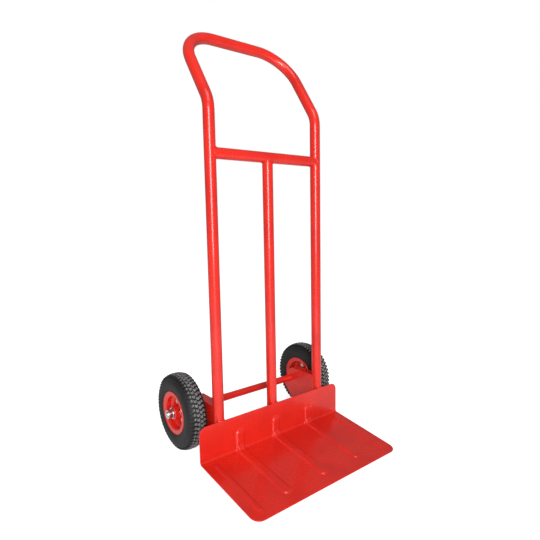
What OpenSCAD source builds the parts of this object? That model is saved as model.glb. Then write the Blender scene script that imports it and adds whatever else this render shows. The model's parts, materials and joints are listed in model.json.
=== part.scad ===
// Hand truck with a bent tube frame, a pressed toe plate and two pneumatic wheels.
// Millimetres, +Z up, -Y is the load side, +X is the right side seen from the front.
// The frame is drawn upright, with Z up the uprights, Y behind them and the toe plate's
// inner corner at height 0. stand() then leans it back until the wheels and the toe
// plate's front edge both rest on the floor.

/* [Frame] */
// Outside diameter of the handle and upright tube
tube_d = 31.8; // [25:0.1:40]
// Wall of every frame tube
tube_wall = 2; // [1.2:0.1:4]
// Distance between the uprights, centre to centre
upright_spacing = 385; // [300:1:520]
// Height of the kink in the uprights above the toe plate's inner corner
kink_height = 968; // [780:1:1200]
// How far the handle arms lean back from the uprights, in degrees
kink_angle = 33.8; // [10:0.1:50]
// Centreline radius of the kink
kink_bend_r = 76; // [50:1:110]
// Length from the kink to the grip bar, along the arms
arm_length = 258; // [220:1:340]
// Centreline radius of the two handle corners
corner_bend_r = 109; // [60:1:120]
// Distance of the cross tube below the kink
cross_tube_drop = 134; // [60:1:400]
// Outside diameter of the cross tube and the centre tube
brace_d = 31; // [20:0.1:31.5]

/* [Toe plate] */
// Width of the toe plate
plate_width = 532; // [440:1:660]
// Depth of the toe plate in front of its inner corner
plate_depth = 252; // [200:1:320]
// Sheet thickness of the toe plate
plate_t = 3; // [2:0.1:6]
// Height of the back flange above the inner corner
flange_height = 101; // [80:1:140]
// How far the toe plate opens past square to the uprights, in degrees
plate_droop = 8.6; // [2:0.1:14]
// Inside radius of the fold between plate and flange
fold_r = 5; // [3:0.5:10]
// Radius of the front corners
plate_corner_r = 26; // [10:1:45]
// Radius of the flange's top corners
flange_corner_r = 22; // [10:1:40]
// Distance of the two outer long beads from the middle
bead_x = 134; // [90:1:160]
// Width of the three long beads
bead_width = 32; // [20:1:40]
// Height of the beads above the sheet
bead_rise = 4; // [2:0.5:6]
// Plain sheet left in front of the beads
bead_front_margin = 33; // [20:1:60]
// Height of the upright beads on the flange
flange_bead_height = 62; // [45:1:75]
// Distance of the two narrow beads from the plate's side edges
side_bead_margin = 34; // [24:1:50]
// Width of the two narrow beads
side_bead_width = 18; // [12:1:24]

/* [Axle and brackets] */
// Distance of the axle behind the uprights' centreline
axle_back = 120; // [100:1:160]
// Height of the axle above the toe plate's inner corner
axle_height = 102.5; // [85:0.5:115]
// Axle diameter
axle_d = 16; // [12:0.5:18]
// Outside diameter of the tube that carries the axle
axle_tube_d = 22; // [20:0.1:30]
// Radial clearance between the axle and what slides over it
axle_clearance = 0.05; // [0.02:0.01:0.1]
// Radial clearance between the axle and its carrier tube
carrier_clearance = 0.4; // [0.1:0.1:1]
// Width of the folded brackets
bracket_width = 30; // [24:0.5:31]
// Sheet thickness of the brackets
bracket_t = 3; // [2:0.1:5]
// Height of the bracket's top above the axle
bracket_above_axle = 39.5; // [30:0.5:60]
// How far the bracket reaches behind the axle
bracket_behind_axle = 27; // [20:0.5:40]

/* [Wheels] */
// Tyre radius
tyre_r = 112; // [100:0.5:125]
// Tyre width
tyre_width = 63; // [56:0.5:72]
// Gap between each bracket and its tyre
wheel_gap = 6; // [4:0.5:20]
// Carcass thickness at the sidewalls
tyre_wall = 5; // [3:0.5:7]
// Depth of the tread grooves
tread_depth = 5; // [2:0.5:7]
// Radius of the rim's bead seat
bead_seat_r = 49.8; // [46:0.1:54]
// Radius of the rim's edge
rim_edge_r = 63.5; // [58:0.5:66]
// Half of the rim's width over its edges
rim_half_width = 28; // [25:0.5:29]
// Sheet thickness of the rim halves
rim_t = 2; // [1.5:0.1:3]
// How far outboard of the tyre's middle the rim halves meet
rim_split = 3; // [0:0.5:6]
// Thickness of the inner tube
inner_tube_t = 1.5; // [1:0.1:2.5]

/* [Bearings] */
// Outside diameter of the bearings
bearing_od = 35; // [34:0.1:38]
// Width of the bearings
bearing_width = 11; // [9:0.5:13]
// Outside diameter of the inner rings
inner_ring_od = 22; // [20:0.1:23]
// Inside diameter of the outer rings
outer_ring_id = 29.2; // [28.5:0.1:30]
// Ball diameter
ball_d = 4.8; // [4.5:0.1:5]
// Balls in each bearing
ball_count = 9; // [6:1:11]
// Clearance between the balls and what they touch
ball_clearance = 0.05; // [0.02:0.01:0.1]

/* [Fasteners] */
// Number of bolts that join the rim halves
rim_bolt_count = 3; // [3:1:5]
// Gap between the rim washers and the foot of the rim's bearing cup
rim_washer_gap = 0.8; // [0.2:0.1:2]
// Rim bolt diameter
rim_bolt_d = 8; // [6:1:8]
// Width across flats of the rim bolts' heads and nuts
hex_width = 13; // [10:0.5:13]
// Head height of the rim bolts
bolt_head_h = 5.3; // [4:0.1:6]
// Height of the rim nuts
nut_h = 7; // [5:0.5:8]
// Thickness of the rim washers
rim_washer_t = 1.6; // [1:0.1:2]
// Outside diameter of the rim washers
rim_washer_d = 15; // [14:0.5:16]
// Outside diameter of the axle washers
axle_washer_d = 30; // [26:0.5:34]
// Thickness of the axle washers
axle_washer_t = 2.5; // [1.5:0.1:4]
// Outside diameter of the shaft collars
collar_d = 26; // [24:0.5:32]
// Width of the shaft collars
collar_w = 13; // [9:0.5:16]
// Diameter of the collars' set screws
set_screw_d = 6; // [4:1:6]
// How far the axle stands out of each collar
axle_tip = 3; // [1:0.5:8]

/* [Hidden] */
$fn = 64;

left = -1;
right = 1;
eps = 0.5;                         // how far a cutter runs past the face it cuts

// Frame
tube_r = tube_d / 2;
brace_r = brace_d / 2;
centre_r = brace_r - 0.1;          // a touch smaller than the cross tube, so that the cope closes
upright_x = upright_spacing / 2;
cross_tube_height = kink_height - cross_tube_drop;
tube_foot = 2;                     // the tubes end just above the fold
bend_thinning = 0.15;              // how much the wall's two surfaces draw in at a bend
bend_overrun = 0.5;                // degrees that a bend runs into the straight tube
kink_start = kink_height - kink_bend_r * tan(kink_angle / 2);
arm_start_y = kink_bend_r * (1 - cos(kink_angle));
arm_start_z = kink_start + kink_bend_r * sin(kink_angle);
arm_straight = arm_length - kink_bend_r * tan(kink_angle / 2) - corner_bend_r;

// Toe plate, seen from the side as [y, z]
face_y = -tube_r - plate_t;        // front face of the flange
fold_turn = 90 - plate_droop;
fold_steps = 8;
plate_heel = [face_y + plate_t, -plate_t * tan(fold_turn / 2)];
plate_tip = [face_y - plate_depth * cos(plate_droop), -plate_depth * sin(plate_droop)];
plate_toe = plate_tip + plate_t * [sin(plate_droop), -cos(plate_droop)];

// Standing position: the floor touches the tyres and the toe plate's lower front edge
axle_yz = [axle_back, axle_height];
reach = axle_yz - plate_toe;
lean = atan2(reach[1], reach[0]) - asin(tyre_r / norm(reach));
function stood(p) = [p[0] * cos(lean) + p[1] * sin(lean), p[1] * cos(lean) - p[0] * sin(lean)];
grip_yz = [0, kink_height] + arm_length * [sin(kink_angle), cos(kink_angle)];
front_y = min(stood(plate_tip)[0], stood(plate_toe)[0]);
back_y = max(stood(axle_yz)[0] + tyre_r, stood(grip_yz)[0] + tube_r);
middle_y = (front_y + back_y) / 2;
floor_z = stood(plate_toe)[1];

// Wheel, measured outboard from the tyre's middle
tyre_half = tyre_width / 2;
wheel_x = upright_x + bracket_width / 2 + wheel_gap + tyre_half;
tyre_mid_r = tyre_r - tyre_half;
rim_lip_z = rim_half_width - rim_t / 2;
bearing_lip_z = rim_half_width + rim_t / 4;
outer_bearing_z = bearing_lip_z - rim_t / 2 - bearing_width;
ring_stand_out = 2.5;              // the inner rings stand out past the rim's bearing lips
stack_z = outer_bearing_z + bearing_width + ring_stand_out;
cup_r = (bearing_od + rim_t) / 2;  // middle of the sheet round the bearings
cup_foot_r = cup_r + 6.2;
rim_bolt_circle_r = cup_foot_r + rim_washer_gap + rim_washer_d / 2;
collar_z = stack_z + axle_washer_t;
axle_half = wheel_x + collar_z + collar_w + axle_tip;
axle_tube_half = wheel_x - stack_z - axle_washer_t;
bolt_face_z = rim_split + rim_t;   // outer face of the joined rim halves
bolt_back_z = rim_split - rim_t;   // inner face
valve_z = 12;
valve_angle = 60;

// Leans the upright frame back onto the floor and centres it
module stand() {
    translate([0, -middle_y, -floor_z]) rotate([-lean, 0, 0]) children();
}

// Places a wheel piece drawn with +Z outboard, +X up and +Y to the front
module at_wheel(side) {
    stand() mirror([side < 0 ? 1 : 0, 0, 0])
        translate([wheel_x, axle_back, axle_height])
            rotate([0, 90, 0]) rotate([0, 0, 180]) children();
}

module ring(outer_r, inner_r) {
    difference() {
        circle(outer_r);
        circle(inner_r);
    }
}

// A tube or washer along Z
module sleeve(outer_r, inner_r, length) {
    linear_extrude(length) ring(outer_r, inner_r);
}

// Unit vector from p to q
function toward(p, q) = (q - p) / norm(q - p);

// Round the corners of an open path of [x, y] points, all to radius r
function rounded(path, r, n = 6) = concat(
    [path[0]],
    [for (i = [1:len(path) - 2]) each corner(path[i - 1], path[i], path[i + 1], r, n)],
    [path[len(path) - 1]]
);
function corner(a, b, c, r, n) =
    let (u = toward(b, a), w = toward(b, c), half = acos(u * w) / 2)
    let (centre = b + r / sin(half) * (u + w) / norm(u + w))
    let (s = b + r / tan(half) * u - centre, e = b + r / tan(half) * w - centre, turn = 180 - 2 * half)
    [for (i = [0:n]) centre + (sin(turn * (1 - i / n)) * s + sin(turn * i / n) * e) / sin(turn)];

// Sheet of thickness t along an open path, as one outline
function path_normal(p, i) =
    let (last = len(p) - 1)
    let (u = i > 0 ? toward(p[i - 1], p[i]) : toward(p[0], p[1]))
    let (w = i < last ? toward(p[i], p[i + 1]) : toward(p[last - 1], p[last]))
    let (m = [-u[1] - w[1], u[0] + w[0]])
    2 * m / (m * m);
function sheet_outline(p, t) = concat(
    [for (i = [0:len(p) - 1]) p[i] + t / 2 * path_normal(p, i)],
    [for (i = [len(p) - 1:-1:0]) p[i] - t / 2 * path_normal(p, i)]
);

// ---------------------------------------------------------------- frame tubes

// An arc of tube in the XY plane that starts on +X; it runs half a degree into the straight
// tubes at its ends, and its wall is drawn a little thinner, as bending does
module tube_bend(bend_r, angle) {
    rotate_extrude(angle = angle + 2 * bend_overrun, start = -bend_overrun)
        translate([bend_r, 0]) ring(tube_r - bend_thinning, tube_r - tube_wall + bend_thinning);
}

// The left half of the bent tube, up to the start of the grip bar
module handle_half() {
    module section() ring(tube_r, tube_r - tube_wall);
    translate([-upright_x, 0, tube_foot]) linear_extrude(kink_start - tube_foot) section();
    translate([-upright_x, kink_bend_r, kink_start]) rotate([90, 0, -90])
        tube_bend(kink_bend_r, kink_angle);
    translate([-upright_x, arm_start_y, arm_start_z]) rotate([-kink_angle, 0, 0]) {
        linear_extrude(arm_straight) section();
        translate([corner_bend_r, 0, arm_straight]) rotate([90, 0, 180])
            tube_bend(corner_bend_r, 90);
    }
}

module handle_frame() color("red") stand() {
    grip_half = upright_x - corner_bend_r;
    union() {
        handle_half();
        mirror([1, 0, 0]) handle_half();
        translate([-grip_half, grip_yz[0], grip_yz[1]]) rotate([0, 90, 0])
            sleeve(tube_r, tube_r - tube_wall, 2 * grip_half);
    }
}

// Coped to the uprights at both ends
module cross_tube() color("red") stand() difference() {
    translate([-upright_x, 0, cross_tube_height]) rotate([0, 90, 0])
        sleeve(brace_r, brace_r - tube_wall, upright_spacing);
    for (side = [left, right])
        translate([side * upright_x, 0, cross_tube_height - tube_d]) cylinder(h = 2 * tube_d, r = tube_r);
}

// Runs down behind the flange and is coped to the cross tube at the top
module centre_tube() color("red") stand() difference() {
    translate([0, centre_r - tube_r, tube_foot])
        sleeve(centre_r, centre_r - tube_wall, cross_tube_height - tube_foot);
    translate([-tube_d, 0, cross_tube_height]) rotate([0, 90, 0]) cylinder(h = 2 * tube_d, r = brace_r);
}

// ---------------------------------------------------------------- toe plate

// What rounds a square corner at the origin, of a sheet that lies towards -X and -Y
module corner_waste(r) {
    translate([0, 0, -2 * plate_t]) linear_extrude(4 * plate_t) difference() {
        translate([-r, -r]) square(r + eps);
        translate([-r, -r]) circle(r);
    }
}

// Drawn on the plate: +Y forward, +Z up from its top face
module on_plate() {
    translate([0, face_y, 0]) rotate([plate_droop, 0, 0]) rotate([0, 0, 180]) children();
}

// Drawn on the flange: +Y up, +Z forward from its front face
module on_flange() {
    translate([0, face_y, 0]) rotate([90, 0, 0]) children();
}

// A long rounded bar whose crest stands `rise` above z = 0 and is `width` wide there
module bead_bar(x, from, to, width, rise, inset) {
    r = (pow(width / 2, 2) + pow(rise, 2)) / (2 * rise);
    for (y = [from, to]) translate([x, y, rise - r]) sphere(r - inset);
    translate([x, from, rise - r]) rotate([-90, 0, 0]) cylinder(h = to - from, r = r - inset);
}

// The part of a bead that stands above the sheet
module raised_bead(x, from, to, width, rise) {
    intersection() {
        bead_bar(x, from, to, width, rise, 0);
        translate([x - width, from - width, -plate_t / 2])
            cube([2 * width, to - from + 2 * width, rise + plate_t]);
    }
}

// The bent sheet: down the flange, round the fold and out along the plate
module toe_sheet() {
    front = rounded([[face_y, flange_height], [face_y, 0], plate_tip], fold_r, fold_steps);
    back = rounded([[face_y + plate_t, flange_height], plate_heel, plate_toe],
                   fold_r + plate_t, fold_steps);
    difference() {
        rotate([90, 0, 90]) translate([0, 0, -plate_width / 2]) linear_extrude(plate_width)
            polygon(concat(front, [for (i = [len(back) - 1:-1:0]) back[i]]));
        for (side = [left, right]) {
            on_plate() mirror([side < 0 ? 1 : 0, 0, 0])
                translate([plate_width / 2, plate_depth, 0]) corner_waste(plate_corner_r);
            on_flange() mirror([side < 0 ? 1 : 0, 0, 0])
                translate([plate_width / 2, flange_height, 0]) corner_waste(flange_corner_r);
        }
    }
}

module toe_plate() color("red") stand() {
    bead_front = plate_depth - bead_front_margin - bead_width / 2;
    flange_bead_top = flange_height > flange_bead_height + 10 ? flange_bead_height : flange_height - 10;
    flange_bead_end = flange_bead_top - bead_width / 2;
    side_bead_x = plate_width / 2 - side_bead_margin;
    side_bead_ends = [30, plate_depth - bead_front_margin];
    bead_start = bead_width;        // the long beads start clear of the fold
    difference() {
        union() {
            toe_sheet();
            for (x = [-bead_x, 0, bead_x]) {
                on_plate() raised_bead(x, bead_start, bead_front, bead_width, bead_rise);
                on_flange() raised_bead(x, bead_start, flange_bead_end, bead_width, bead_rise);
            }
            for (side = [left, right])
                on_plate() raised_bead(side * side_bead_x, side_bead_ends[0], side_bead_ends[1],
                                       side_bead_width, bead_rise - 1);
        }
        for (x = [-bead_x, 0, bead_x])
            on_plate() bead_bar(x, bead_start, bead_front, bead_width, bead_rise, plate_t);
        for (side = [left, right])
            on_plate() bead_bar(side * side_bead_x, side_bead_ends[0], side_bead_ends[1],
                                side_bead_width, bead_rise - 1, plate_t);
    }
}

// ---------------------------------------------------------------- brackets and axle

// Side view of a bracket as [y, z]; `inset` moves the top and the sloping top corner inwards
function bracket_outline(inset) =
    let (top = axle_height + bracket_above_axle - inset)
    let (back = axle_back + bracket_behind_axle)
    [
        [0, 5], [axle_back - 40, 5], [back, axle_height - 26],
        [back - 20 - inset, axle_height + 27 - inset / 2], [axle_back - 13 - inset / 3, top], [0, top]
    ];

module axle_bracket(side) color("red") stand() translate([side * upright_x, 0, 0]) {
    inside = bracket_width - 2 * bracket_t;
    difference() {
        rotate([90, 0, 90]) translate([0, 0, -bracket_width / 2])
            linear_extrude(bracket_width) polygon(bracket_outline(0));
        rotate([90, 0, 90]) translate([0, 0, -inside / 2])
            linear_extrude(inside) polygon(concat(
                [[-tube_d, -tube_d], [axle_back + 2 * tube_d, -tube_d],
                 [axle_back + 2 * tube_d, bracket_outline(bracket_t)[3][1]]],
                [for (i = [3:5]) bracket_outline(bracket_t)[i]],
                [[-tube_d, bracket_outline(bracket_t)[5][1]]]));
        cylinder(h = 2 * axle_height + 4 * bracket_above_axle, r = tube_r, center = true);
        translate([0, axle_back, axle_height]) rotate([0, 90, 0])
            cylinder(h = 2 * bracket_width, d = axle_tube_d, center = true);
    }
}

module on_axle() {
    stand() translate([0, axle_back, axle_height]) rotate([0, 90, 0]) children();
}

module axle_tube() color("red") on_axle() translate([0, 0, -axle_tube_half])
    sleeve(axle_tube_d / 2, axle_d / 2 + carrier_clearance, 2 * axle_tube_half);

module axle() color("silver") on_axle() {
    chamfer = 1;
    rotate_extrude() polygon([
        [0, -axle_half], [axle_d / 2 - chamfer, -axle_half], [axle_d / 2, -axle_half + chamfer],
        [axle_d / 2, axle_half - chamfer], [axle_d / 2 - chamfer, axle_half], [0, axle_half]
    ]);
}

module axle_washer(side, z) color("silver") at_wheel(side) translate([0, 0, z])
    sleeve(axle_washer_d / 2, axle_d / 2 + axle_clearance, axle_washer_t);

module shaft_collar(side) color("silver") at_wheel(side) translate([0, 0, collar_z]) difference() {
    sleeve(collar_d / 2, axle_d / 2 + axle_clearance, collar_w);
    translate([0, 0, collar_w / 2]) rotate([90, 0, 0]) cylinder(h = collar_d, d = set_screw_d);
}

module collar_screws() color("dimgray") for (side = [left, right]) at_wheel(side)
    translate([0, -axle_d / 2 - 2 * axle_clearance, collar_z + collar_w / 2]) rotate([90, 0, 0]) {
        length = (collar_d - axle_d) / 2 - 0.5;
        difference() {
            cylinder(h = length, d = set_screw_d);
            translate([0, 0, length / 2]) cylinder(h = length, d = set_screw_d / 2, $fn = 6);
        }
    }

// ---------------------------------------------------------------- bearings

ball_track_r = (inner_ring_od + outer_ring_id) / 4;
inner_bearing_z = -outer_bearing_z - bearing_width;
bearing_mids = [outer_bearing_z + bearing_width / 2, inner_bearing_z + bearing_width / 2];

// Groove that the balls run in
module ball_track() {
    translate([ball_track_r, 0]) circle(ball_d / 2 + ball_clearance);
}

module bearing_spacer(side) color("silver") at_wheel(side) {
    start_z = inner_bearing_z + bearing_width;
    translate([0, 0, start_z])
        sleeve(inner_ring_od / 2, axle_d / 2 + axle_clearance, outer_bearing_z - start_z);
}

// Both inner rings, standing out past the rim towards the washers
module bearing_inner_rings(side) color("silver") at_wheel(side) for (out = [left, right])
    mirror([0, 0, out < 0 ? 1 : 0]) translate([0, 0, bearing_mids[0]]) rotate_extrude() difference() {
        translate([axle_d / 2 + axle_clearance, -bearing_width / 2])
            square([(inner_ring_od - axle_d) / 2 - axle_clearance, bearing_width + ring_stand_out]);
        ball_track();
    }

// Both outer rings, with a thin shield on each side
module bearing_outer_rings(side) color("gray") at_wheel(side) for (z = bearing_mids)
    translate([0, 0, z]) rotate_extrude() {
        shield_t = 0.6;
        shield_inner_r = inner_ring_od / 2 + 0.3;
        difference() {
            translate([outer_ring_id / 2, -bearing_width / 2])
                square([(bearing_od - outer_ring_id) / 2, bearing_width]);
            ball_track();
        }
        for (y = [-bearing_width / 2, bearing_width / 2 - shield_t])
            translate([shield_inner_r, y]) square([outer_ring_id / 2 - shield_inner_r + 0.2, shield_t]);
    }

module at_balls() {
    for (i = [0:ball_count - 1]) rotate([0, 0, 360 * i / ball_count])
        translate([ball_track_r, 0, 0]) children();
}

module bearing_balls(side) color("lightgray") at_wheel(side) for (z = bearing_mids)
    translate([0, 0, z]) at_balls() sphere(ball_d / 2);

module ball_cages(side) color("goldenrod") at_wheel(side) for (z = bearing_mids)
    translate([0, 0, z]) {
        cage_t = 1.2;
        cage_w = ball_d + 2;
        difference() {
            translate([0, 0, -cage_w / 2])
                sleeve(ball_track_r + cage_t / 2, ball_track_r - cage_t / 2, cage_w);
            at_balls() rotate([0, 90, 0])
                cylinder(h = ball_d, r = ball_d / 2 + ball_clearance, center = true);
        }
    }

// ---------------------------------------------------------------- rims

// Middle of the pressed sheet as [radius, z], from the bearing lip to the rim's edge
function rim_path(out) =
    let (seat_r = bead_seat_r - rim_t / 2)
    let (face_z = rim_split + out * rim_t / 2)
    [
        [inner_ring_od / 2 + 2.5, out * bearing_lip_z],
        [cup_r, out * bearing_lip_z],
        [cup_r, out * (outer_bearing_z - 1)],
        [cup_foot_r, face_z],
        [seat_r - 7, face_z],
        [seat_r, face_z + out * 6],
        [seat_r, out * (rim_lip_z - 4)],
        [seat_r + 3, out * (rim_lip_z - 1.2)],
        [rim_edge_r - 3, out * (rim_lip_z - 0.8)],
        [rim_edge_r - rim_t / 2, out * rim_lip_z + out * 0.6]
    ];

module at_rim_bolts() {
    for (i = [0:rim_bolt_count - 1]) rotate([0, 0, 360 * i / rim_bolt_count])
        translate([rim_bolt_circle_r, 0, 0]) children();
}

module at_valve() {
    rotate([0, 0, valve_angle]) translate([0, 0, valve_z]) rotate([0, 90, 0]) children();
}

module rim_half(side, out) color("red") at_wheel(side) difference() {
    rotate_extrude() polygon(sheet_outline(rounded(rim_path(out), 1.2, 3), rim_t));
    at_rim_bolts() translate([0, 0, rim_split - tyre_half]) cylinder(h = tyre_width, d = rim_bolt_d + 0.4);
    if (out > 0) at_valve() cylinder(h = rim_edge_r, d = valve_d + 0.4);
}

module hex_prism(h) {
    cylinder(h = h, d = hex_width / cos(30), $fn = 6);
}

module rim_bolts(side) color("silver") at_wheel(side) at_rim_bolts() {
    shank = bolt_face_z - bolt_back_z + 2 * rim_washer_t + nut_h + 1.5;
    translate([0, 0, bolt_back_z - rim_washer_t]) {
        cylinder(h = shank, d = rim_bolt_d);
        translate([0, 0, -bolt_head_h]) hex_prism(bolt_head_h);
    }
}

module rim_nuts(side) color("silver") at_wheel(side) at_rim_bolts()
    translate([0, 0, bolt_face_z + rim_washer_t]) difference() {
        hex_prism(nut_h);
        translate([0, 0, -eps]) cylinder(h = nut_h + 2 * eps, d = rim_bolt_d);
    }

module rim_washers(side) color("silver") at_wheel(side) at_rim_bolts()
    for (z = [bolt_face_z, bolt_back_z - rim_washer_t])
        translate([0, 0, z]) sleeve(rim_washer_d / 2, rim_bolt_d / 2 + 0.2, rim_washer_t);

// ---------------------------------------------------------------- tyres

// Squared-off circle that the carcass and the inner tube follow
function squircle(r, n = 48, power = 2.5) = [
    for (i = [0:n - 1]) let (c = cos(360 * i / n), s = sin(360 * i / n))
        [tyre_mid_r + r * sign(c) * pow(abs(c), 2 / power), r * sign(s) * pow(abs(s), 2 / power)]
];

seat_gap = 0.1;                    // the tyre's beads sit this far off the rim
bead_z = rim_lip_z - 2.6;          // outer face of the tyre's beads
groove_w = 4;

module tyre(side) color("#222222") at_wheel(side) rotate_extrude() difference() {
    polygon(squircle(tyre_half));
    polygon(squircle(tyre_half - tyre_wall));
    translate([0, -tyre_width]) square([bead_seat_r + seat_gap, 2 * tyre_width]);
    translate([0, -bead_z + 8]) square([tyre_mid_r, 2 * bead_z - 16]);
    for (out = [left, right])
        translate([0, out > 0 ? bead_z : -bead_z - tyre_width]) square([rim_edge_r + 1, tyre_width]);
    for (z = [-1, 0, 1] * tyre_half * 0.36)
        translate([tyre_r - min(tread_depth, tyre_wall - 1.5), z - groove_w / 2])
            square([tread_depth + tyre_wall, groove_w]);
}

module inner_tube(side) color("#303030") at_wheel(side) difference() {
    rotate_extrude() difference() {
        polygon(squircle(tyre_half - tyre_wall - 0.2));
        polygon(squircle(tyre_half - tyre_wall - 0.2 - inner_tube_t));
    }
    at_valve() cylinder(h = tyre_mid_r, d = valve_d);
}

valve_d = 8;
valve_tip_d = 5;
valve_root_r = tyre_mid_r - tyre_half + tyre_wall + 1.5;
valve_shoulder_r = bead_seat_r - 10;
valve_end_r = bead_seat_r - 17;

module valve_stem(side) color("#282828") at_wheel(side) at_valve() {
    translate([0, 0, valve_shoulder_r]) cylinder(h = valve_root_r - valve_shoulder_r, d = valve_d);
    translate([0, 0, valve_end_r]) cylinder(h = valve_shoulder_r - valve_end_r, d = valve_tip_d);
}

module valve_cap(side) color("black") at_wheel(side) at_valve() difference() {
    translate([0, 0, valve_end_r - 2])
        cylinder(h = valve_shoulder_r - valve_end_r + 1.5, d = valve_d - 0.5);
    translate([0, 0, valve_end_r]) cylinder(h = valve_shoulder_r, d = valve_tip_d);
}

handle_frame();
cross_tube();
centre_tube();
toe_plate();
axle_bracket(left);  // left_axle_bracket
axle_bracket(right);  // right_axle_bracket
axle_tube();
axle();
axle_washer(left, -stack_z - axle_washer_t);  // left_inner_washer
axle_washer(right, -stack_z - axle_washer_t);  // right_inner_washer
axle_washer(left, stack_z);  // left_outer_washer
axle_washer(right, stack_z);  // right_outer_washer
shaft_collar(left);  // left_shaft_collar
shaft_collar(right);  // right_shaft_collar
collar_screws();
bearing_spacer(left);  // left_bearing_spacer
bearing_spacer(right);  // right_bearing_spacer
bearing_inner_rings(left);  // left_bearing_inner_rings
bearing_inner_rings(right);  // right_bearing_inner_rings
bearing_balls(left);  // left_bearing_balls
bearing_balls(right);  // right_bearing_balls
ball_cages(left);  // left_ball_cages
ball_cages(right);  // right_ball_cages
bearing_outer_rings(left);  // left_bearing_outer_rings
bearing_outer_rings(right);  // right_bearing_outer_rings
rim_half(left, 1);  // left_outer_rim_half
rim_half(right, 1);  // right_outer_rim_half
rim_half(left, -1);  // left_inner_rim_half
rim_half(right, -1);  // right_inner_rim_half
rim_bolts(left);  // left_rim_bolts
rim_bolts(right);  // right_rim_bolts
rim_nuts(left);  // left_rim_nuts
rim_nuts(right);  // right_rim_nuts
rim_washers(left);  // left_rim_washers
rim_washers(right);  // right_rim_washers
tyre(left);  // left_tyre
tyre(right);  // right_tyre
inner_tube(left);  // left_inner_tube
inner_tube(right);  // right_inner_tube
valve_stem(left);  // left_valve_stem
valve_stem(right);  // right_valve_stem
valve_cap(left);  // left_valve_cap
valve_cap(right);  // right_valve_cap
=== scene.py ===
"""The looks of a red hand truck: pressed toe plate, welds, lugged tyres, hardware and paint.

The script dresses the fixed frame of the truck and adds the pieces whose shape is finer than the
frame's. Lengths are in metres. Every place is worked out from the frame's own boxes and mounts.
"""

import json
import logging
import math
from dataclasses import dataclass, field
from enum import Enum
from typing import Callable, Iterable, Sequence

import bmesh
import bpy
from mathutils import Matrix, Vector


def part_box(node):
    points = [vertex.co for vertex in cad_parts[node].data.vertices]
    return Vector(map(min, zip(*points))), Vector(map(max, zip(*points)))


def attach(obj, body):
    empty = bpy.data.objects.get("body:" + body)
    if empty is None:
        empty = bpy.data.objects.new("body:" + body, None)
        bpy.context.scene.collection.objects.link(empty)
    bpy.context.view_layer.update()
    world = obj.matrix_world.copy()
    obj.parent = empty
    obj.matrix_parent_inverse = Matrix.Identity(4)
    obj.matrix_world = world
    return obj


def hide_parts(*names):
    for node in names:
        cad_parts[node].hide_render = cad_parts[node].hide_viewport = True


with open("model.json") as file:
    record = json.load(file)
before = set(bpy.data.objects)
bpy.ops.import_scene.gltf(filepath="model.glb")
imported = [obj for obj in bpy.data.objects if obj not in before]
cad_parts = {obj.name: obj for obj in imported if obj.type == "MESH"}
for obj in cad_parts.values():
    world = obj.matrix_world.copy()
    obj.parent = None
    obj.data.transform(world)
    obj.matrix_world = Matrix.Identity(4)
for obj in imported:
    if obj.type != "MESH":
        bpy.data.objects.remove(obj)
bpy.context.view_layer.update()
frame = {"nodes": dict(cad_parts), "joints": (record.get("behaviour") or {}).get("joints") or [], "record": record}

log = logging.getLogger("hand_truck")
MM = 0.001
TRUCK = "truck_frame"
EDGED = {"zinc_hardware", "axle_steel", "screw_steel", "valve_cap_plastic"}
EDGE_WIDTH = 0.45 * MM
EDGE_ANGLE = math.radians(40)
Colour = tuple[float, float, float]
Outline = Sequence[tuple[float, float]]


class Side(Enum):
    """The two sides of the truck, as the sign of X."""

    LEFT = -1
    RIGHT = 1

    @property
    def word(self) -> str:
        """The side's name, as the frame's nodes spell it."""
        return self.name.lower()

    def node(self, name: str) -> str:
        """The frame's node of that name on this side."""
        return f"{self.word}_{name}"


# ------------------------------------------------------------------ shader expressions


class Wire:
    """An output socket of a shader graph that can be used in Python expressions."""

    def __init__(self, graph: "Graph", socket: bpy.types.NodeSocket) -> None:
        """Keeps the graph and the socket."""
        self.graph = graph
        self.socket = socket

    def _math(self, operation: str, *values: "Wire | float") -> "Wire":
        """One Math node over the values."""
        return self.graph.node("ShaderNodeMath", {"operation": operation}, dict(enumerate(values)))

    def __add__(self, other: "Wire | float") -> "Wire":
        """The sum."""
        return self._math("ADD", self, other)

    def __sub__(self, other: "Wire | float") -> "Wire":
        """The difference."""
        return self._math("SUBTRACT", self, other)

    def __rsub__(self, other: "Wire | float") -> "Wire":
        """The difference, other way round."""
        return self._math("SUBTRACT", other, self)

    def __mul__(self, other: "Wire | float") -> "Wire":
        """The product."""
        return self._math("MULTIPLY", self, other)

    def __pow__(self, other: "Wire | float") -> "Wire":
        """The power."""
        return self._math("POWER", self, other)

    __radd__ = __add__
    __rmul__ = __mul__

    def between(self, low: float, high: float) -> "Wire":
        """0 below low, 1 above high, and smooth in between."""
        return self.graph.node(
            "ShaderNodeMapRange",
            {"interpolation_type": "SMOOTHSTEP"},
            {"Value": self, "From Min": low, "From Max": high},
        )


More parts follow.
